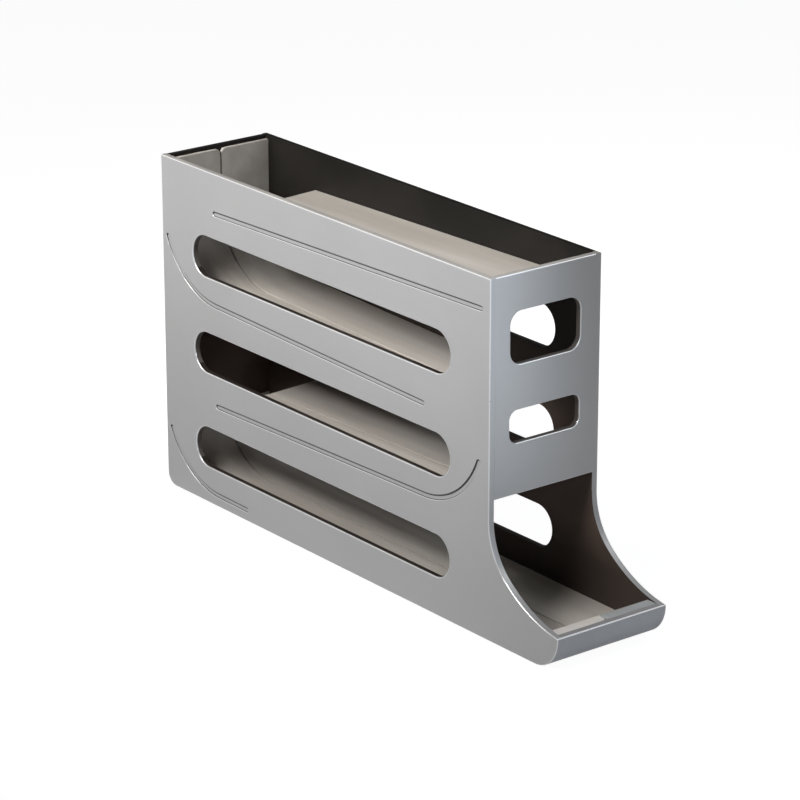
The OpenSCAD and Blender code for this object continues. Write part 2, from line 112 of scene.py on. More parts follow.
# %% Finish
class Finish:
    """A material, made node by node from expressions."""

    def __init__(self, name):
        self.material = bpy.data.materials.new(name)
        self.material.use_nodes = True
        self.tree = self.material.node_tree
        self.shader = self.tree.nodes["Principled BSDF"]
        self.place = self.node("ShaderNodeTexCoord").outputs["Object"]

    def node(self, kind, settings=None, sockets=None):
        made = self.tree.nodes.new(kind)
        for key, value in (settings or {}).items():
            if key == "stops":
                ramp = made.color_ramp.elements
                while len(ramp) < len(value):
                    ramp.new(0.5)
                for element, (position, shade) in zip(ramp, value):
                    element.position, element.color = position, (shade, shade, shade, 1)
            else:
                setattr(made, key, value)
        for key, value in (sockets or {}).items():
            self.feed(made.inputs[key], value)
        return made

    def feed(self, socket, value):
        if isinstance(value, Field):
            value = value.socket
        if isinstance(value, bpy.types.NodeSocket):
            self.tree.links.new(value, socket)
        elif socket.type == "RGBA" and len(value) == 3:
            socket.default_value = (*value, 1)
        else:
            socket.default_value = value

    def set(self, **sockets):
        for key, value in sockets.items():
            self.feed(self.shader.inputs[key.replace("_", " ")], value)

    def noise(self, per_metre, detail=2.0, stretch=(1, 1, 1)):
        where = self.node("ShaderNodeMapping", None, {"Vector": self.place, "Scale": stretch})
        made = self.node("ShaderNodeTexNoise", None,
                         {"Vector": where.outputs[0], "Scale": per_metre, "Detail": detail})
        return Field(self, made.outputs[0])

    def height(self):
        made = self.node("ShaderNodeSeparateXYZ", None, {0: self.place})
        return Field(self, made.outputs[2])

    def steps(self, field, *stops):
        made = self.node("ShaderNodeValToRGB", {"stops": stops}, {0: field})
        return Field(self, made.outputs[0])

    def between(self, share, first, second):
        made = self.node("ShaderNodeMix", {"data_type": "RGBA"}, {0: share, 6: first, 7: second})
        return made.outputs[2]

    def relief(self, height, depth, strength):
        made = self.node("ShaderNodeBump", None, {"Strength": strength, "Distance": depth, "Height": height})
        self.set(Normal=made.outputs[0])


print("a finish starts from", Finish("trial").shader.bl_idname)
bpy.data.materials.remove(bpy.data.materials["trial"])

# %% [markdown]
# ## Silver skin
#
# The outside of the case has a satin silver finish, as of a metallic lacquer on moulded plastic: soft
# reflections, fine flakes that make it sparkle a little, and a trace of orange peel. Two noises of very
# different scale give the flakes and the slow drift of tone, and a third makes the relief.
#
# The same recipe serves five more places. Rounded edges mirror a lamp as a thin bright line, so theirs is
# smoother, more metallic and nearly flat, as relief would break that line up; its much lighter colour
# is a painted highlight. The lip is painted a little lighter and bluer, as painted cool light. The walls
# of the engraved traces are painted dark as shade, and their steep ends in a lighter painted shade.

# %% Silver skin
def silver_skin(name, shade, light, metallic=0.4, roughness=0.34, depth=0.00002):
    skin = Finish(name)
    flakes = skin.noise(2600, 2)
    drift = skin.noise(14, 3)
    tone = skin.steps(flakes * 0.7 + drift * 0.3, (0.3, 0.0), (0.7, 1.0))
    skin.set(Base_Color=skin.between(tone, shade, light),
             Metallic=metallic,
             Roughness=roughness + 0.10 * skin.noise(900, 2) + 0.06 * drift)
    skin.relief(skin.noise(700, 2) + 0.5 * flakes, depth, 0.5)
    return skin.material


SILVER = silver_skin("silver skin", (0.43, 0.43, 0.435), (0.51, 0.51, 0.515))
# The lip's silver is painted lighter and bluer than the rest, as painted cool light.
LIP_SILVER = silver_skin("silver skin of the lip, painted cooler", (0.455, 0.475, 0.515), (0.54, 0.56, 0.60))
# Rounded edges: smoother and more metallic, and painted much lighter as a highlight.
EDGE = silver_skin("silver edge with painted highlight", (0.74, 0.745, 0.755), (0.86, 0.865, 0.875),
                   metallic=0.65, roughness=0.22, depth=0.000001)
# The walls and rings of the traces: painted shade, lighter in the steep parts.
TRACE_WALL = silver_skin("painted shade in the traces", (0.07, 0.07, 0.068), (0.10, 0.10, 0.098))
FAINT_WALL = silver_skin("lighter painted shade in the steep traces", (0.24, 0.24, 0.24), (0.29, 0.29, 0.29))
print("made", [m.name for m in (SILVER, LIP_SILVER, EDGE, TRACE_WALL, FAINT_WALL)])

# %% [markdown]
# ## Bare plastic
#
# The inside of the case stays bare: a nearly black plastic with a fine moulded grain. Only a little of the
# light that falls in comes back, so the rails stand out in front. A ramp on the height mixes in a paler second
# shade low down, strongest about 5 cm up: a painted band of the light that falls in through the mouth.
#
# The thickness of the slots and windows, the top rim and the ledge behind the lip are the same plastic in
# paler shades of the one recipe. On the top rim the paler shade is a painted sheen.

# %% Bare plastic
# Stops of a painted band of light, paler low down inside the case where light falls in through the mouth.
LIGHT_BAND = ((0.03, 0.7), (0.052, 0.0), (0.08, 0.05), (0.17, 1.0))    # height in metres, share that stays dark


def bare_plastic(name, shade, light, shine=0.5, painted_light_band=None):
    inner = Finish(name)
    grain = inner.noise(1900, 3)
    cloud = inner.noise(22, 3)
    tone = inner.between(inner.steps(cloud, (0.35, 0.0), (0.65, 1.0)), shade, light)
    # The optional second shade paints a band of light low down.
    if painted_light_band:
        tone = inner.between(inner.steps(inner.height(), *LIGHT_BAND), painted_light_band, tone)
    inner.set(Base_Color=tone, Roughness=0.42 + 0.14 * grain, Specular_IOR_Level=shine)
    inner.relief(grain, 0.00004, 0.6)
    return inner.material


# The inside: its own nearly black colour, with a painted band of light low down.
DARK = bare_plastic("dark inner plastic", (0.008, 0.007, 0.006), (0.014, 0.012, 0.010), 0.2,
                    painted_light_band=(0.11, 0.078, 0.064))
# The lower side of the slots: painted darker than their thickness, as painted shade.
SHADE = bare_plastic("painted shade on the lower side of the slots", (0.022, 0.017, 0.015), (0.036, 0.028, 0.024), 0.25)
CUT = bare_plastic("thickness of the openings", (0.105, 0.092, 0.085), (0.130, 0.115, 0.105))
# The top rim: painted paler as a sheen of light.
RIM = bare_plastic("top rim plastic with painted sheen", (0.32, 0.30, 0.28), (0.38, 0.36, 0.335))
LEDGE = bare_plastic("ledge behind the lip", (0.24, 0.235, 0.24), (0.30, 0.295, 0.30))
print("made", [m.name for m in (DARK, SHADE, CUT, RIM, LEDGE)])

# %% [markdown]
# ## Light rails and soft pads
#
# The rails are a warm light-grey plastic with a satin face, a little worn along the run where the load rolls:
# a noise stretched along the case gives those streaks. The strips behind the lip are soft and slightly
# glossy, the left one painted a little lighter and warmer as painted light, and the foot pads are plain dark
# rubber.

# %% Rails and pads
def rail_plastic():
    rail = Finish("light rail plastic")
    grain = rail.noise(1500, 3)
    streaks = rail.noise(90, 4, stretch=(1, 0.06, 1))
    rail.set(Base_Color=rail.between(rail.steps(streaks, (0.35, 0.0), (0.65, 1.0)),
                                     (0.47, 0.43, 0.385), (0.56, 0.52, 0.47)),
             Roughness=0.34 + 0.16 * streaks)
    rail.relief(grain, 0.00003, 0.5)
    return rail.material


def soft_strip(name, shade, light):
    strip = Finish(name)
    cloud = strip.noise(60, 3)
    strip.set(Base_Color=strip.between(cloud, shade, light),
              Roughness=0.30 + 0.15 * cloud, Subsurface_Weight=0.1)
    strip.relief(strip.noise(1100, 2), 0.00003, 0.5)
    return strip.material


def foot_rubber():
    rubber = Finish("dark foot rubber")
    grain = rubber.noise(2200, 3)
    rubber.set(Base_Color=rubber.between(grain, (0.018, 0.018, 0.019), (0.040, 0.040, 0.042)),
               Roughness=0.65 + 0.2 * grain)
    rubber.relief(grain, 0.00006, 0.8)
    return rubber.material


RAIL, RUBBER = rail_plastic(), foot_rubber()
# The left strip is painted lighter and warmer than the right one, as painted light.
STRIP_LEFT = soft_strip("soft strip, left, painted lighter", (0.71, 0.645, 0.60), (0.83, 0.76, 0.71))
STRIP_RIGHT = soft_strip("soft strip, right", (0.37, 0.365, 0.37), (0.46, 0.455, 0.46))
print("made", [m.name for m in (RAIL, STRIP_LEFT, STRIP_RIGHT, RUBBER)])

# %% [markdown]
# ## Drawing outlines
#
# Every piece of the case is a plate with one outline, seen from the side. A pen draws such an outline by
# extruding one vertex: straight on for a line, and with the spin operator for an arc. The outline is then
# filled and extruded. The work is done in millimetres, and a finished piece is scaled to metres at the end.

# %% Sizes and the pen
CASE_W, CASE_H, BODY_L, REACH = 80, 213, 315, 60.4    # REACH is how far the lip stands out from the front
WALL, LIFT = 4, 0.8                                   # LIFT is the room that the foot pads give underneath
TOTAL_L, TOP = BODY_L + REACH, CASE_H + LIFT
SIDE_X, INNER_X = CASE_W / 2, CASE_W / 2 - WALL
SLACK, HAIR = 0.1, 0.01                               # how near counts as on a plane


def at(depth):
    """Depths count from the back face towards the mouth."""
    return TOTAL_L / 2 - depth


class Pen:
    """Draws an outline in a plane across X, from one vertex."""

    def __init__(self, x, y, z):
        self.bm = bmesh.new()
        self.x = x
        self.first = self.last = self.bm.verts.new((x, y, z))

    def line(self, y, z):
        self.last = bmesh.ops.extrude_vert_indiv(self.bm, verts=[self.last])["verts"][0]
        self.last.co = (self.x, y, z)
        return self

    def arc(self, y, z, angle, steps):
        made = bmesh.ops.spin(self.bm, geom=[self.last], cent=(self.x, y, z), axis=(1, 0, 0),
                              angle=radians(angle), steps=steps)
        self.last = next(g for g in made["geom_last"] if isinstance(g, bmesh.types.BMVert))
        return self

    def plate(self, thickness):
        """Closes and fills the outline, and extrudes it along X."""
        bm = self.bm
        if (self.last.co - self.first.co).length > 1e-3:
            bm.edges.new((self.last, self.first))
        bmesh.ops.remove_doubles(bm, verts=bm.verts, dist=1e-3)
        face = bmesh.ops.contextual_create(bm, geom=bm.edges[:])["faces"]
        grown = bmesh.ops.extrude_face_region(bm, geom=face, use_keep_orig=True)["geom"]
        moved = [g for g in grown if isinstance(g, bmesh.types.BMVert)]
        bmesh.ops.translate(bm, verts=moved, vec=(thickness, 0, 0))
        bmesh.ops.recalc_face_normals(bm, faces=bm.faces)
        return bm


print("the case is", TOTAL_L, "mm deep")

# %% [markdown]
# ## Cutting
#
# Slots, windows, traces and pockets are holes of simple shape. They could be drawn into each outline, but
# solid cutters keep every shape apart and easy to read. A Boolean modifier takes the cutters away or adds
# them, and its result is kept as a bmesh, so that no modifier stays behind.

# %% Cutting
def as_object(bm, name):
    mesh = bpy.data.meshes.new(name)
    bm.to_mesh(mesh)
    bm.free()
    made = bpy.data.objects.new(name, mesh)
    bpy.context.scene.collection.objects.link(made)
    return made


def carved(bm, cutters, operation="DIFFERENCE"):
    """The solid of bm after each cutter has been taken from it or added to it."""
    whole = as_object(bm, "whole")
    tools = [as_object(c, "tool") for c in cutters]
    for tool in tools:
        step = whole.modifiers.new("cut", "BOOLEAN")
        step.operation, step.solver, step.object = operation, "EXACT", tool
    bpy.context.view_layer.update()
    result = bmesh.new()
    result.from_object(whole, bpy.context.evaluated_depsgraph_get())
    for made in [whole, *tools]:
        old = made.data
        bpy.data.objects.remove(made)
        bpy.data.meshes.remove(old)
    bmesh.ops.remove_doubles(result, verts=result.verts, dist=1e-4)
    bmesh.ops.dissolve_degenerate(result, edges=result.edges, dist=1e-4)
    return result


# %% [markdown]
# ## Rounding
#
# Moulded edges are never sharp, and their small roundings catch the light. A Bevel modifier would round them
# all alike. Here a test on the two ends of an edge picks a group, and the bevel operator rounds each group by
# a radius of its own.

# %% Rounding
SHARP = 35    # degrees between two faces from which their edge is rounded


def rounded(bm, test, radius, segments):
    """Rounds the sharp edges whose two ends pass the test."""
    edges = [e for e in bm.edges if len(e.link_faces) == 2 and e.calc_face_angle(0) > radians(SHARP)
             and all(test(v.co) for v in e.verts)]
    bmesh.ops.bevel(bm, geom=edges, offset=radius, segments=segments, profile=0.5, material=-1,
                    affect="EDGES", clamp_overlap=False)
    return len(edges)


print("edges sharper than", SHARP, "degrees are rounded")

# %% [markdown]
# ## Handing over a piece
#
# The object is the same on its left and its right, so each right piece is the mirror image of the left one.
# A mirror image turns the faces inside out, so they are reversed. A finished piece is scaled to metres, gets
# a material for each face, rides on the case and stands for its CAD node. Smooth shading with weighted
# normals keeps the flat faces flat beside their roundings, without more faces.

# %% Handing over a piece
SMOOTHED = 40    # degrees between two faces from which their edge shows


def mirrored(bm):
    """A copy of bm on the other side of the case."""
    twin = bm.copy()
    bmesh.ops.scale(twin, verts=twin.verts, vec=(-1, 1, 1))
    bmesh.ops.reverse_faces(twin, faces=twin.faces)
    return twin


def finished(bm, node, skin):
    """Scales a piece to metres, gives it its skin and lets it stand for its CAD node. The skin is one material
    or a function that names the material of a face."""
    materials = []
    for face in bm.faces:
        material = skin(face) if callable(skin) else skin
        if material not in materials:
            materials.append(material)
        face.material_index = materials.index(material)
        face.smooth = True
    bmesh.ops.scale(bm, verts=bm.verts, vec=(1 / MM, 1 / MM, 1 / MM))
    piece = as_object(bm, node + "_finished")
    for material in materials:
        piece.data.materials.append(material)
    piece.data.set_sharp_from_angle(angle=radians(SMOOTHED))
    piece.modifiers.new("flat faces", "WEIGHTED_NORMAL").keep_sharp = True
    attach(piece, "root")
    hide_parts(node)


print("a piece is scaled by", 1 / MM, "and shows edges over", SMOOTHED, "degrees")

# %% [markdown]
# ## Side panels
#
# Each side is a 4 mm plate. Its front edge stands straight down the front face and then flares forward, down
# to the lip of the tray. A free curve could give the flare, but two arcs are how a moulded part is drawn. The
# centre of the lower arc follows from where the upper one ends and from the height of the lip, so that the
# two arcs meet without a kink.

# %% Outline of the case
BACK_R, LIP_R, LIP_H = 8, 20, 21.2
FLARE_Z, FLARE_R, FLARE_SWEEP = 72, 41, 51
LIP_TOP = LIP_H + LIFT

flare_out = Vector((cos(radians(FLARE_SWEEP)), sin(radians(FLARE_SWEEP))))
flare_join = Vector((BODY_L + FLARE_R, FLARE_Z)) - FLARE_R * flare_out
chord = Vector((TOTAL_L, LIP_H)) - flare_join
FLARE_LOW_R = chord.length_squared / (2 * chord.dot(flare_out))
flare_low = flare_join + FLARE_LOW_R * flare_out


def flare_height(depth):
    return flare_low.y - sqrt(FLARE_LOW_R ** 2 - (depth - flare_low.x) ** 2)


def lip_sweep(depth):
    """Degrees that the lower arc turns from a depth up to the upper arc."""
    return degrees(atan2(flare_low.y - flare_height(depth), flare_low.x - depth)) - FLARE_SWEEP


def case_plate(x, thickness):
    pen = Pen(x, at(BACK_R), LIFT)
    pen.line(at(TOTAL_L - LIP_R), LIFT).arc(at(TOTAL_L - LIP_R), LIP_R + LIFT, -90, 18)
    pen.line(at(TOTAL_L), LIP_TOP)
    pen.arc(at(flare_low.x), flare_low.y + LIFT, lip_sweep(TOTAL_L), 22)
    pen.arc(at(BODY_L + FLARE_R), FLARE_Z + LIFT, FLARE_SWEEP, 24)
    pen.line(at(BODY_L), TOP).line(at(0), TOP).line(at(0), BACK_R + LIFT)
    return pen.arc(at(BACK_R), BACK_R + LIFT, -90, 8).plate(thickness)


print("lower arc of the flare: radius", round(FLARE_LOW_R, 2), "mm, sweep", round(lip_sweep(TOTAL_L), 1))

# %% [markdown]
# ### Tiers
#
# The load runs down four tiers that slope forwards and backwards by turns. Sloping parts could be drawn
# where they lie, but each tier has a frame of its own: flat, with its front end at zero. What follows the
# tier is drawn there, leaned by its slope and put in place. The engraved traces outside and the rails inside
# both use it, so they can't drift apart.

# %% Tiers
# A tier: its height at half depth, 1 where it climbs towards the mouth, its slope in degrees, and the depths
# where its straight part ends at the back and at the front.
Tier = namedtuple("Tier", "height rise slope back front")

RAIL_T, RAIL_SLOPE, FLOOR_SLOPE = 2.4, 1.4, 0.5
TILT, FIT = 2, 0.2                   # the fall to the seam in degrees, and the room between pieces
TURN_BACK_R, TURN_FRONT_R, LIP_TURN_R = 56, 54, 38
DROP_BACK, TURN_BACK = 55.3, 55.4    # where a straight rail ends at the back, and where a turn begins there
TIERS = {
    1: Tier(0.8948 * CASE_H, 1, RAIL_SLOPE, DROP_BACK, 310.8),
    2: Tier(0.5986 * CASE_H, -1, RAIL_SLOPE, TURN_BACK, 256.0),
    3: Tier(0.3192 * CASE_H, 1, RAIL_SLOPE, DROP_BACK, 256.9),
    4: Tier(6.5, -1, FLOOR_SLOPE, TURN_BACK, TOTAL_L - WALL - LIP_TURN_R + RAIL_T + FIT),
}


def tier_z(tier, depth):
    t = TIERS[tier]
    return t.height + t.rise * tan(radians(t.slope)) * (depth - BODY_L / 2)


def tier_x(tier, depth):
    """Distance along a tier from its front end to a depth."""
    return (TIERS[tier].front - depth) / cos(radians(TIERS[tier].slope))


def onto_tier(bm, tier):
    """Leans a flat drawing and puts it on its tier."""
    t = TIERS[tier]
    bmesh.ops.rotate(bm, verts=bm.verts, matrix=Matrix.Rotation(radians(-t.rise * t.slope), 3, "X"))
    bmesh.ops.translate(bm, verts=bm.verts, vec=(0, at(t.front), tier_z(tier, t.front) + LIFT))
    return bm


def turn_sweep(tier, start, radius, side, depth):
    """Degrees of a turn from its start up to a depth, towards the back (1) or the mouth (-1)."""
    t = TIERS[tier]
    centre = start - t.rise * radius * sin(radians(t.slope))
    return degrees(asin(side * (centre - depth) / radius)) + side * t.rise * t.slope


print("tier 1 runs", round(tier_x(1, TIERS[1].back), 1), "mm")

# %% [markdown]
# ### Slots and traces
#
# The three slots are stadium shapes: two lines and two half circles. A trace is a narrow channel with round
# ends. Where its tier turns up inside, the channel goes on round the same bend. It could be a dark line in
# the material, but a real channel keeps its shade and its line of light from every side.

# %% Slots and traces
SLOT_R, SLOT_BACK, SLOT_FRONT = 13, 32.1, BODY_L - 34.5
SLOTS = [(0.1718 + i * 0.2878) * CASE_H + LIFT for i in range(3)]    # heights of their middles
TRACE_W, TRACE_DEPTH = 2.8, 0.6
TRACE_FRONT, TRACE_TURN_FRONT, TRACE_BACK = 8, 9.3, 5.8    # how near the traces come to the edges
SHORT_TRACE = 29                                           # length of the straight part of the lowest trace


def slot_cutter(height):
    low, high = SLOT_BACK + SLOT_R, SLOT_FRONT - SLOT_R
    pen = Pen(-SIDE_X - 1, at(low), height + SLOT_R).arc(at(low), height, -180, 28)
    return pen.line(at(high), height - SLOT_R).arc(at(high), height, -180, 28).plate(WALL + 2)


def trace_cutter(tier, x0, x1, turn=None):
    """A channel along a tier; turn is (radius, side, sweep) where it goes on round a bend."""
    r = TRACE_W / 2
    radius, side, sweep = turn or (0, 0, 0)
    across, up = radius * sin(radians(sweep)), radius - radius * cos(radians(sweep))
    pen = Pen(-SIDE_X - 1, x0, -r).line(x1, -r)
    if side > 0:
        pen.arc(x1, radius, sweep, 24).arc(x1 + across, up, 180, 8).arc(x1, radius, -sweep, 24).line(x0, r)
    else:
        pen.arc(x1, 0, 180, 8).line(x0, r)
    if side < 0:
        pen.arc(x0, radius, -sweep, 24).arc(x0 - across, up, 180, 8).arc(x0, radius, sweep, 24)
    else:
        pen.arc(x0, 0, 180, 8)
    return onto_tier(pen.plate(TRACE_DEPTH + 1), tier)


def back_turn(tier):
    return TURN_BACK_R, 1, turn_sweep(tier, TIERS[tier].back, TURN_BACK_R, 1, TRACE_BACK)


def trace_cutters():
    back = {t: tier_x(t, TIERS[t].back) for t in TIERS}
    front_turn = (TURN_FRONT_R, -1,
                  turn_sweep(3, TIERS[3].front, TURN_FRONT_R, -1, BODY_L - TRACE_TURN_FRONT))
    return [trace_cutter(1, tier_x(1, BODY_L - TRACE_FRONT), back[1]),
            trace_cutter(2, 0, back[2], back_turn(2)),
            trace_cutter(3, 0, back[3], front_turn),
            trace_cutter(4, tier_x(4, TURN_BACK + SHORT_TRACE), back[4], back_turn(4))]


print("middles of the slots, mm:", [round(z, 1) for z in SLOTS])

# %% [markdown]
# ### Cutting the sides
#
# After the cuts the edges are rounded in groups. The walls of the traces get a wide, shallow rounding, which
# slopes them: the upper wall then looks down and stays dark, and the lower one looks up and catches a line of
# light. The walls are also painted dark as shade. A ring is inset where the floor of a trace meets its walls
# and painted dark as shade, and the floor inside it is shifted down a little, which makes the line of painted
# shade at the top wider than the one below. Last, the top rim is divided where the front panel meets it, so
# that its corner can get the front panel's pale rim, a painted sheen.

# %% Side panel
EDGE_R, INNER_EDGE_R = 0.9, 0.35             # roundings of the outer and the inner edges of the case
SLOT_EDGE_R, OPENING_INNER_R = 0.6, 0.4      # roundings of the openings, outside and inside
TRACE_SLOPE, RING, RING_DROP = 0.42, 0.5, 0.2
SLOT_ROOM_UP, SLOT_ROOM_ALONG = 0.6, 0.7     # how far the rounded edge of a slot reaches beyond it
# The faces of the ring are marked so that they get painted shade.
SHADED = 1                                   # marks the faces of the ring


def in_slot(place):
    return (any(abs(place.z - z) < SLOT_R + SLOT_ROOM_UP for z in SLOTS)
            and at(SLOT_FRONT + SLOT_ROOM_ALONG) < place.y < at(SLOT_BACK - SLOT_ROOM_ALONG))


def outer(p):
    return abs(p.x + SIDE_X) < HAIR


def inner(p):
    return abs(p.x + INNER_X) < HAIR


def on_outline(p):
    return (p.z < LIFT + SLACK or p.z > TOP - SLACK or p.y > at(SLACK) or p.y < at(BODY_L - SLACK)
            or (p.z < BACK_R + LIFT and p.y > at(BACK_R)))


def at_lip(p):
    return p.y < at(TOTAL_L - SLACK) and p.z > LIP_TOP - SLACK


def traces_finished(bm):
    """Slopes the walls of the traces and rings their floors."""
    walls = rounded(bm, lambda p: outer(p) and not in_slot(p) and not on_outline(p), TRACE_SLOPE, 3)
    deep = -SIDE_X + TRACE_DEPTH
    floors = [f for f in bm.faces if all(abs(v.co.x - deep) < HAIR for v in f.verts)]
    ring = bmesh.ops.inset_region(bm, faces=floors, thickness=RING, use_even_offset=True)["faces"]
    for face in ring:
        face.material_index = SHADED
    inside = {v for face in floors for v in face.verts}
    bmesh.ops.translate(bm, verts=list(inside), vec=(0, 0, -RING_DROP))
    return [walls, len(floors), len(ring)]


def rim_divided(bm):
    """Divides the top rim across, in line with the back of the front panel."""
    rim = {f for f in bm.faces if f.normal.z > 0.1 and f.calc_center_median().z > TOP - 1}
    edges, points = {e for f in rim for e in f.edges}, {v for f in rim for v in f.verts}
    bmesh.ops.bisect_plane(bm, geom=[*points, *edges, *rim], plane_co=(0, at(BODY_L - WALL), 0),
                           plane_no=(0, 1, 0))


def side_panel():
    bm = carved(case_plate(-INNER_X, -WALL), trace_cutters() + [slot_cutter(z) for z in SLOTS])
    counts = traces_finished(bm)
    counts += [rounded(bm, lambda p: (outer(p) and on_outline(p)) or at_lip(p), EDGE_R, 4),
               rounded(bm, lambda p: outer(p) and in_slot(p), SLOT_EDGE_R, 3),
               rounded(bm, lambda p: inner(p) and in_slot(p), OPENING_INNER_R, 2),
               rounded(bm, lambda p: inner(p) and p.z > TOP - SLACK, INNER_EDGE_R, 2),
               rounded(bm, lambda p: inner(p) and at(TOTAL_L - 1) < p.y < at(BODY_L - SLACK)
                       and LIP_H < p.z < FLARE_Z + LIFT + SLACK, INNER_EDGE_R, 2)]
    rim_divided(bm)
    print("trace edges, floors, ring faces and edges rounded:", counts)
    return bm


left = side_panel()
right = mirrored(left)
print("open edges:", sum(len(e.link_faces) != 2 for e in left.edges))

# %% [markdown]
# ### Finishes of the sides
#
# The real panel is one moulding with a lacquered outside. A second object for each finish would leave seams,
# so one function names the finish of a face from where the face is and which way it looks. Faces that look
# inwards are dark. The thickness of a slot is a little paler, with painted shade at its lower side. A trace is
# painted dark as shade, lighter where it runs steeply up at the back, but for a dark dot at its end. Rounded
# edges get the painted highlight. The rim is painted pale as a sheen on the left side, and is dark on the right
# one, up to the corner at the front.

# %% Skins of the sides
FADE_FRONT, FADE_BACK, FADE_LOW, FADE_HIGH = 22, 6.3, 12, CASE_H - 3    # depths and heights of the steep ends
RIM_ROOM, CORNER_ROOM = 1.2, 10    # how far the rounded outline reaches in, along an edge and at the corner


def fading(centre):
    """True where a trace runs steeply up at the back, where its painted shade is lighter."""
    return at(FADE_FRONT) < centre.y < at(FADE_BACK) and FADE_LOW < centre.z < FADE_HIGH


def in_trace(face, centre):
    """True for a trace's walls and upper rim rounding, which look away from the light and get painted shade."""
    if not SIDE_X - TRACE_DEPTH - HAIR <= abs(centre.x) <= SIDE_X - 2 * HAIR or in_slot(centre):
        return False
    on_edge = (centre.z > TOP - RIM_ROOM or centre.z < LIFT + RIM_ROOM
               or centre.y > at(RIM_ROOM) or centre.y < at(BODY_L - RIM_ROOM)
               or (centre.z < CORNER_ROOM and centre.y > at(CORNER_ROOM)))
    return not on_edge and (abs(face.normal.x) < 0.3 or face.normal.z < -0.05)


def side_skin(face):
    centre, normal = face.calc_center_median(), face.normal
    inward = -normal.x if centre.x > 0 else normal.x
    # Walls, rings and upper rims of the traces get painted shade, lighter in the steep parts.
    if face.material_index == SHADED or in_trace(face, centre):
        return FAINT_WALL if fading(centre) else TRACE_WALL
    # In the steep parts of the traces the painted highlight is left out.
    if fading(centre) and inward < -0.25:
        return SILVER
    # Rounded edges get the painted highlight, except the top of the right rim.
    if -0.97 < inward < -0.25 and not (centre.x > 0 and normal.z > 0.5 and centre.z > CASE_H):
        return EDGE
    # The rounded front edge of the lip gets the painted highlight.
    if centre.y < at(TOTAL_L - 1) and centre.z > LIP_TOP - 1 and 0.2 < -normal.y < 0.9:
        return EDGE
    if inward > 0.5:
        return DARK
    # Faces of the sides at the lip get the lighter, bluer silver of painted cool light.
    if abs(inward) < 0.5 and centre.y < at(BODY_L) and centre.z < LIP_TOP:
        return LIP_SILVER
    # The thickness of a slot is paler, with painted shade on its upward-facing lower side.
    if in_slot(centre) and abs(inward) < 0.5:
        return SHADE if normal.z > 0.7 else CUT
    # The top rim is painted pale as a sheen on the left side and at the front corner; the right one stays dark.
    if centre.z > TOP - 1 and normal.z > 0.5:
        return RIM if centre.x < 0 or centre.y < at(BODY_L - WALL) else DARK
    return SILVER


finished(left, "side_panel_left", side_skin)
finished(right, "side_panel_right", side_skin)

# %% [markdown]
# ## Front and back panels
#
# The front panel is a plate with two windows whose corners are round, flush with the front edges of the
# sides. The back panel is a plain plate that stands on the tray. A second pen could draw across Y, but the
# one there is draws across X, so a panel is drawn lying along Y and turned by a quarter turn. Its outer edges
# get a larger rounding than its inner ones.

# %% Front and back panels
MOUTH_TOP, BACK_FOOT = 83.5 + LIFT, 16 + LIFT
WINDOW_W, WINDOW_EDGE_R, WINDOW_ROOM = 50.5, 0.8, 0.75
HIGH_WINDOW, LOW_WINDOW = (31, 8, 0.823), (19.4, 5.5, 0.5798)    # height, corner and share of the case's height


def window_cutter(height, radius, share):
    y, h, z = WINDOW_W / 2 - radius, height / 2 - radius, share * CASE_H + LIFT
    pen = Pen(-5, -y, z - h - radius).line(y, z - h - radius).arc(y, z - h, 90, 10)
    pen.line(y + radius, z + h).arc(y, z + h, 90, 10).line(-y, z + h + radius).arc(-y, z + h, 90, 10)
    return pen.line(-y - radius, z - h).arc(-y, z - h, 90, 10).plate(10)


def across_case(bm, y):
    """Turns a plate that was drawn along Y so that it stands across the case, with its front face at y."""
    bmesh.ops.rotate(bm, verts=bm.verts, matrix=Matrix.Rotation(radians(90), 3, "Z"))
    bmesh.ops.translate(bm, verts=bm.verts, vec=(0, y, 0))
    return bm


def wall_plate(low):
    return Pen(0, -INNER_X, low).line(INNER_X, low).line(INNER_X, TOP).line(-INNER_X, TOP).plate(WALL)


def in_window(p):
    return abs(p.x) < WINDOW_W / 2 + WINDOW_ROOM and MOUTH_TOP + 5 < p.z < CASE_H - 5


def front_panel():
    bm = carved(wall_plate(MOUTH_TOP), [window_cutter(*HIGH_WINDOW), window_cutter(*LOW_WINDOW)])
    across_case(bm, at(BODY_L))
    face, hidden = at(BODY_L), at(BODY_L - WALL)
    rounded(bm, lambda p: abs(p.y - face) < HAIR and in_window(p), WINDOW_EDGE_R, 4)
    rounded(bm, lambda p: abs(p.y - hidden) < HAIR and in_window(p), OPENING_INNER_R, 2)
    rounded(bm, lambda p: abs(p.y - face) < HAIR and p.z > TOP - SLACK, EDGE_R, 4)
    rounded(bm, lambda p: abs(p.y - hidden) < HAIR and p.z > TOP - SLACK, INNER_EDGE_R, 2)
    rounded(bm, lambda p: p.z < MOUTH_TOP + SLACK, INNER_EDGE_R, 2)
    return bm


def back_panel():
    bm = across_case(wall_plate(BACK_FOOT), at(WALL))
    rounded(bm, lambda p: p.y > at(SLACK) and p.z > TOP - SLACK, EDGE_R, 4)
    rounded(bm, lambda p: p.y < at(WALL - SLACK) and p.z > TOP - SLACK, INNER_EDGE_R, 2)
    return bm


def panel_skin(face, outward):
    """The skin of the front and back panels; outward is -1 for the front one and 1 for the back one."""
    centre, out, up = face.calc_center_median(), face.normal.y * outward, face.normal.z
    # Rounded edges get the painted highlight, except the top edge of the back panel.
    if 0.25 < out < 0.97 and not (outward > 0 and up > 0.5):
        return EDGE
    if out < -0.5:
        return DARK
    if in_window(centre) and abs(out) < 0.5:
        return CUT
    # The front panel's top rim is painted pale as a sheen; the back one stays dark.
    if centre.z > TOP - 1 and up > 0.5:
        return RIM if outward < 0 else DARK
    return SILVER


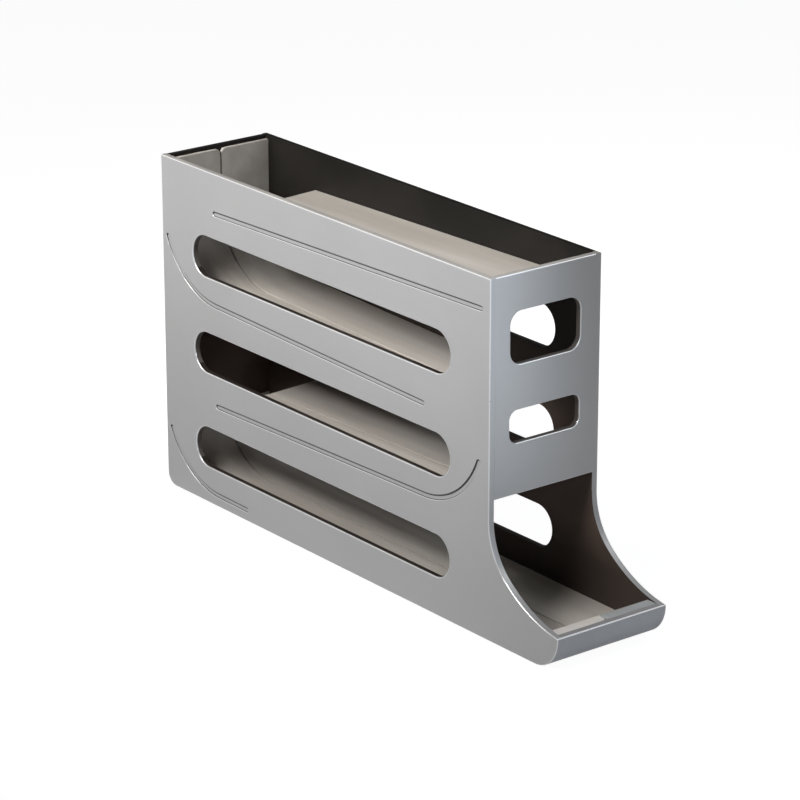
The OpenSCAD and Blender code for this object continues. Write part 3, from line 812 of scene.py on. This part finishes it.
finished(front_panel(), "front_panel", lambda face: panel_skin(face, -1))
finished(back_panel(), "back_panel", lambda face: panel_skin(face, 1))

# %% [markdown]
# ## Base tray
#
# The tray closes the case underneath. At the front it curls up into the lip, whose upper face carries on the
# curve of the sides, and at the back it curls up into a foot for the back panel. A bent sheet with the
# Solidify modifier would have one thickness all over, but the lip and the foot are thicker than the floor, so
# one outline gives it all. Four shallow pockets underneath hold the foot pads, and four thin plates across
# the tray carry the lowest rails.

# %% Base tray
BASE_T, PAD_W, PAD_T = 2.2, 7, 2.6
TRAY_IN = TOTAL_L - WALL                 # depth of the inner face of the lip
PAD_Z = flare_height(TRAY_IN) - PAD_T    # height at which the soft strips lie
FLOOR_R = PAD_Z - BASE_T - FIT
FOOT_X, FOOT_FRONT, FOOT_BACK, FOOT_R = 27, 344.4, 19, 7
POCKET_R, POCKET_LOW, POCKET_TOP = 7.2, -1, 1    # a pocket is cut between these heights above the ground
FEET = {"front_left": (-FOOT_X, FOOT_FRONT), "front_right": (FOOT_X, FOOT_FRONT),
        "back_left": (-FOOT_X, FOOT_BACK), "back_right": (FOOT_X, FOOT_BACK)}
RIB_SHARES = (0.08, 0.36, 0.64, 0.92)    # places of the ribs along a rail, and of the plates in the tray
BEARER_T = 1.6


def disc(x, depth, low, high, radius):
    bm = bmesh.new()
    bmesh.ops.create_cone(bm, cap_ends=True, segments=48, radius1=radius, radius2=radius, depth=high - low)
    bmesh.ops.translate(bm, verts=bm.verts, vec=(x, at(depth), (low + high) / 2))
    return bm


def bearer(share):
    """A plate across the tray that carries the two lowest rails."""
    depth, low = TURN_BACK + share * (BODY_L - TURN_BACK), BASE_T / 2 + LIFT
    seat = tier_z(4, depth) - RAIL_T / 2 - FIT - BEARER_T * tan(radians(FLOOR_SLOPE)) + LIFT
    pen = Pen(-BEARER_T / 2, -INNER_X, low).line(INNER_X, low).line(INNER_X, seat)
    pen.line(0, seat - INNER_X * sin(radians(TILT))).line(-INNER_X, seat)
    return across_case(pen.plate(BEARER_T), at(depth))


def base_tray():
    rise = degrees(asin((PAD_Z - FIT + LIFT - BACK_FOOT) / FLOOR_R))
    pen = Pen(-INNER_X, at(0), BACK_FOOT).line(at(0), BACK_R + LIFT).arc(at(BACK_R), BACK_R + LIFT, -90, 8)
    pen.line(at(TOTAL_L - LIP_R), LIFT).arc(at(TOTAL_L - LIP_R), LIP_R + LIFT, -90, 18)
    pen.line(at(TOTAL_L), LIP_TOP)
    pen.arc(at(flare_low.x), flare_low.y + LIFT, lip_sweep(TOTAL_L) - lip_sweep(TRAY_IN), 3)
    floor_centre = BASE_T + FLOOR_R + LIFT
    pen.line(at(TRAY_IN), floor_centre).arc(at(TRAY_IN - FLOOR_R), floor_centre, 90, 14)
    pen.line(at(WALL + FLOOR_R), BASE_T + LIFT).arc(at(WALL + FLOOR_R), floor_centre, 90 - rise, 12)
    bm = carved(pen.plate(2 * INNER_X),
                [disc(x, depth, POCKET_LOW, POCKET_TOP, POCKET_R) for x, depth in FEET.values()])
    bm = carved(bm, [bearer(share) for share in RIB_SHARES], "UNION")
    rounded(bm, at_lip, EDGE_R, 4)
    rounded(bm, lambda p: abs(p.y - at(TRAY_IN)) < SLACK and p.z > LIP_TOP, INNER_EDGE_R, 2)
    return bm


def tray_skin(face):
    centre, normal = face.calc_center_median(), face.normal
    if centre.z > LIP_TOP - 1:
        # The rounded front edge of the lip gets the painted highlight.
        if 0.2 < -normal.y < 0.9 and centre.y < at(TOTAL_L - 1):
            return EDGE
        if normal.z > 0.5:
            return LEDGE
    inside = (LIFT + BASE_T - SLACK < centre.z < LIP_TOP and at(TRAY_IN + 0.2) < centre.y < at(WALL - 0.5)
              and normal.z > -0.1)
    # Outside, the tray gets the lip's lighter, bluer silver of painted cool light.
    return DARK if inside else LIP_SILVER


finished(base_tray(), "base_tray", tray_skin)

# %% [markdown]
# ## Tier rails
#
# A tier is two half-width rails that fall gently to a seam in the middle, so that the load runs along the
# middle of the case. A flange and gusset ribs stiffen each of the three upper rails from below. Where the
# second and third rails turn up, their free ends have a round corner at the seam and soft edges.
#
# A rail that slopes along the case and tilts across it has no simple outline. So it is drawn too wide in its
# tier's frame, leaned, tilted about its outer edge, and trimmed to its half of the case with two cutting
# planes, which leaves both of its long edges upright.

# %% Making a rail
EDGE_X, SEAM_X, OVER = -INNER_X + FIT, -0.6, 8    # OVER is how far a rail is drawn past the wall
FLANGE_H, RIB_T, RIB_REACH = 5, 1.6, 24
CORNER_R, SOFT_R = 3, 0.4                         # roundings of a free end: its corner and its edges


def trimmed(bm, place, outward):
    """Cuts away what lies beyond a plane and closes the cut."""
    cut = bmesh.ops.bisect_plane(bm, geom=bm.verts[:] + bm.edges[:] + bm.faces[:], plane_co=place,
                                 plane_no=outward, clear_outer=True)["geom_cut"]
    bmesh.ops.holes_fill(bm, edges=[g for g in cut if isinstance(g, bmesh.types.BMEdge)], sides=0)
    bmesh.ops.recalc_face_normals(bm, faces=bm.faces)
    return bm


def tilted(bm, tier):
    """Lets a plate fall to the seam, and cuts it to the left half of the case."""
    pivot = Vector((-INNER_X, 0, TIERS[tier].height + LIFT))
    bmesh.ops.rotate(bm, verts=bm.verts, cent=pivot, matrix=Matrix.Rotation(radians(TILT), 3, "Y"))
    trimmed(bm, (EDGE_X, 0, 0), (-1, 0, 0))
    return trimmed(bm, (SEAM_X, 0, 0), (1, 0, 0))


def rail_outline(tier, back=None, front=None, to_wall=False):
    """The plate of a tier in its own frame. Each end is round, or turns up by the radius that is given; the
    front end of a rail that runs to the wall is square."""
    r, x = RAIL_T / 2, tier_x(tier, TIERS[tier].back)
    pen = Pen(-INNER_X - OVER, 0, -r).line(x, -r)
    if back:
        pen.arc(x, back, 90, 28).line(x + back - r, back).arc(x, back, -90, 28).line(0, r)
    else:
        pen.arc(x, 0, 180, 8).line(0, r)
    if front:
        pen.arc(0, front, -90, 28).line(-front - r, front).arc(0, front, 90, 28)
    elif not to_wall:
        pen.arc(0, 0, 180, 8)
    return onto_tier(pen.plate(INNER_X + 2 * OVER), tier)


def braced(bm, tier):
    """Adds the flange and the gusset ribs under a rail."""
    span, root = tier_x(tier, TIERS[tier].back), EDGE_X + RIB_T / 2
    flange = Pen(EDGE_X, RIB_T, 0).line(span - RIB_T, 0).line(span - RIB_T, -FLANGE_H).line(RIB_T, -FLANGE_H)
    shells = [flange.plate(RIB_T)]
    for share in RIB_SHARES:
        gusset = Pen(0, root, 0).line(root + RIB_REACH, -RIB_REACH * sin(radians(TILT)))
        rib = gusset.line(root, RAIL_T / 2 - FLANGE_H).plate(RIB_T)
        bmesh.ops.rotate(rib, verts=rib.verts, matrix=Matrix.Rotation(radians(90), 3, "Z"))
        bmesh.ops.scale(rib, verts=rib.verts, vec=(-1, 1, 1))
        bmesh.ops.translate(rib, verts=rib.verts, vec=(0, (1 - share) * span, 0))
        bmesh.ops.recalc_face_normals(rib, faces=rib.faces)
        shells.append(rib)
    return carved(bm, [onto_tier(shell, tier) for shell in shells], "UNION")


def round_top(bm, top):
    """Ends a turned-up rail at a height, with a round corner at the seam and soft edges."""
    trimmed(bm, (0, 0, top), (0, 0, 1))
    rounded(bm, lambda p: abs(p.x - SEAM_X) < 0.05 and abs(p.z - top) < 0.05, CORNER_R, 6)
    rounded(bm, lambda p: p.z > top - CORNER_R - SLACK, SOFT_R, 3)
    return bm


print("a rail spans", round(SEAM_X - EDGE_X, 1), "mm across")

# %% [markdown]
# ### The four tiers
#
# The highest rail runs to the front panel. The second turns up at the back, where a straight plate takes it
# on to the rim. The third turns up at the front. The lowest turns up at both ends, and a block is cut away
# above its front end to make room for the soft strips. Each gets a function of its own, because their ends
# differ more than they agree. The right rails are mirror images.

# %% Rails
BEHIND = WALL + FIT                                                 # a turned-up end stands this far in
STRAIGHT_FROM, ABOVE = TIERS[2].height + 36 + LIFT, CASE_H + 6      # ends of the straight plate, untrimmed
BACK_TOP, FRONT_TOP = CASE_H - 2 + LIFT, 0.5164 * CASE_H + LIFT     # where tiers 2 and 3 end


def tier_2_rail():
    bm = trimmed(rail_outline(2, back=TURN_BACK_R), (0, at(BEHIND), 0), (0, 1, 0))
    plate = Pen(-INNER_X - OVER, at(BEHIND), STRAIGHT_FROM).line(at(BEHIND), ABOVE)
    plate.line(at(BEHIND + RAIL_T), ABOVE).line(at(BEHIND + RAIL_T), STRAIGHT_FROM)
    return round_top(tilted(carved(bm, [plate.plate(INNER_X + 2 * OVER)], "UNION"), 2), BACK_TOP)


def tier_3_rail():
    bm = trimmed(rail_outline(3, front=TURN_FRONT_R), (0, at(BODY_L - BEHIND), 0), (0, -1, 0))
    return round_top(tilted(bm, 3), FRONT_TOP)


def tier_4_rail():
    bm = trimmed(rail_outline(4, back=TURN_BACK_R, front=LIP_TURN_R), (0, at(BEHIND), 0), (0, 1, 0))
    bm = tilted(trimmed(bm, (0, at(TRAY_IN - FIT), 0), (0, -1, 0)), 4)
    start, end, top = at(TIERS[4].front), at(TOTAL_L + 1), PAD_Z + LIFT
    room = Pen(-SIDE_X, start, top).line(end, top).line(end, CASE_H).line(start, CASE_H)
    return carved(bm, [room.plate(SIDE_X)])


RAILS = {1: braced(tilted(rail_outline(1, to_wall=True), 1), 1),
         2: braced(tier_2_rail(), 2),
         3: braced(tier_3_rail(), 3),
         4: tier_4_rail()}
for tier, rail in RAILS.items():
    twin = mirrored(rail)
    finished(rail, f"tier_{tier}_rail_left", RAIL)
    finished(twin, f"tier_{tier}_rail_right", RAIL)

# %% [markdown]
# ## Strips and foot pads
#
# Two soft strips lie on the turned-up front ends of the lowest rails, behind the lip, one for each half. The
# foot pads stand under the tray, with their upper ends hidden in it. Both are too stiff to sag, so they need
# no cloth: an extruded outline and a cone with two equal radii are enough, and the roundings make them look
# soft.

# %% Strips and foot pads
STRIP_EDGE_R, PAD_H = 0.5, 1    # PAD_H is how far a foot pad reaches above the underside of the tray


def lip_pad():
    low, high = PAD_Z + LIFT, PAD_Z + PAD_T + LIFT
    near, far = at(TRAY_IN - FIT), at(TRAY_IN - FIT - PAD_W)
    bm = Pen(EDGE_X, near, low).line(near, high).line(far, high).line(far, low).plate(SEAM_X - EDGE_X)
    rounded(bm, lambda p: p.x > SEAM_X - SLACK and p.y < near + SLACK, CORNER_R, 6)
    rounded(bm, lambda p: p.z > high - HAIR, STRIP_EDGE_R, 3)
    return bm


def foot_pad(place):
    bm = disc(*FEET[place], 0, PAD_H + LIFT, FOOT_R)
    rounded(bm, lambda p: p.z < HAIR, SOFT_R, 3)
    return bm


pad = lip_pad()
pad_twin = mirrored(pad)
finished(pad, "lip_pad_left", STRIP_LEFT)
finished(pad_twin, "lip_pad_right", STRIP_RIGHT)
for place in FEET:
    finished(foot_pad(place), "foot_pad_" + place, RUBBER)

# %% [markdown]
# ## Studio
#
# The picture was taken in front of white. Stronger lamps would make a white floor too, but they would wash
# out the object. So the floor is a plain pale grey with a share of glow mixed in, which only the camera and
# gloss see: it looks white, keeps a faint shadow and doesn't light the object. The world is dim in the same
# way, and white only to the camera.

# %% Floor and world
FLOOR_RADIUS, FLOOR_GLOW = 12, 3.08          # metres, and the strength of the glow
GLOW_SEEN, GLOW_IN_GLOSS = 0.3, 0.1          # share of the glow that the camera and gloss see
WORLD_COLOUR, WORLD_STRENGTH = (0.96, 0.98, 1, 1), 0.095


def floor_paint():
    floor = Finish("pale floor")
    floor.set(Base_Color=floor.between(floor.noise(3, 2), (0.43, 0.43, 0.43), (0.46, 0.46, 0.46)),
              Roughness=0.8, Specular_IOR_Level=0.1)
    rays = floor.node("ShaderNodeLightPath").outputs
    glow = floor.node("ShaderNodeEmission", None, {"Color": (1, 1, 1), "Strength": FLOOR_GLOW})
    camera_ray, glossy_ray = Field(floor, rays["Is Camera Ray"]), Field(floor, rays["Is Glossy Ray"])
    seen = GLOW_SEEN * camera_ray + GLOW_IN_GLOSS * glossy_ray
    mix = floor.node("ShaderNodeMixShader", None, {0: seen, 1: floor.shader.outputs[0], 2: glow.outputs[0]})
    floor.feed(floor.tree.nodes["Material Output"].inputs[0], mix.outputs[0])
    return floor.material


def lit_world():
    world = bpy.data.worlds.new("studio")
    world.use_nodes = True
    nodes, links = world.node_tree.nodes, world.node_tree.links
    light = nodes["Background"]
    light.inputs[0].default_value = WORLD_COLOUR
    light.inputs[1].default_value = WORLD_STRENGTH
    white = nodes.new("ShaderNodeBackground")
    white.inputs[0].default_value = (1, 1, 1, 1)
    mix = nodes.new("ShaderNodeMixShader")
    links.new(nodes.new("ShaderNodeLightPath").outputs["Is Camera Ray"], mix.inputs[0])
    links.new(light.outputs[0], mix.inputs[1])
    links.new(white.outputs[0], mix.inputs[2])
    links.new(mix.outputs[0], nodes["World Output"].inputs[0])
    bpy.context.scene.world = world


floor_bm = bmesh.new()
bmesh.ops.create_circle(floor_bm, cap_ends=True, segments=96, radius=FLOOR_RADIUS)
floor = as_object(floor_bm, "floor")
floor.data.materials.append(floor_paint())
lit_world()
print("floor of", FLOOR_RADIUS, "m and world", bpy.context.scene.world.name)

# %% [markdown]
# ### Lamps
#
# One large lamp would light the case evenly and flatly. Six soft ones have one task each. The key lights the
# left side from above, and its narrow spread lets the light fall off towards the base. The rim light, from
# behind, draws the bright lines on the upper edges. The softbox at the left draws those on the slots and the
# flare. A bluish light lights the front, and a small fill near the front panel makes it a little brighter at
# the left. The mouth light shines in past the lip.

# %% Lamps
COOL, FULL = (0.80, 0.90, 1), 180
LAMPS = {    # place, point it is aimed at, size, watts, colour, spread in degrees
    "key": ((-0.42, 0.14, 0.47), (-0.04, 0.14, 0.20), (0.78, 0.2), 1.12, (1, 0.99, 0.98), 56),
    "rim light": ((-0.42, 0.98, 0.80), (0, 0.03, 0.15), (0.8, 0.5), 1.9, (1, 0.97, 0.92), FULL),
    "left softbox": ((-0.92, -0.74, 0.19), (0, -0.1, 0.12), (0.2, 0.4), 0.62, (0.97, 0.98, 1), FULL),
    "front light": ((0.35, -1.1, 0.45), (0, -0.12, 0.1), (0.4, 0.4), 0.92, COOL, FULL),
    "front fill": ((-0.045, -0.33, 0.27), (-0.042, -0.127, 0.18), (0.05, 0.16), 0.038, COOL, 36),
    "mouth light": ((0.52, -0.44, 0.70), (0, -0.12, 0.1), (0.36, 0.36), 1.1, (0.96, 0.98, 1), FULL),
}

for name, (place, target, size, watts, colour, spread) in LAMPS.items():
    data = bpy.data.lights.new(name, "AREA")
    data.shape, data.size, data.size_y = "RECTANGLE", *size
    data.energy, data.color, data.spread = watts, colour, radians(spread)
    aimed(name, data, place, Vector(target) - Vector(place)).visible_camera = False
print("lamps:", list(LAMPS))

# %% [markdown]
# ## Close
#
# The picture is shown through the Standard view transform.

# %% Close
bpy.context.scene.view_settings.view_transform = "Standard"
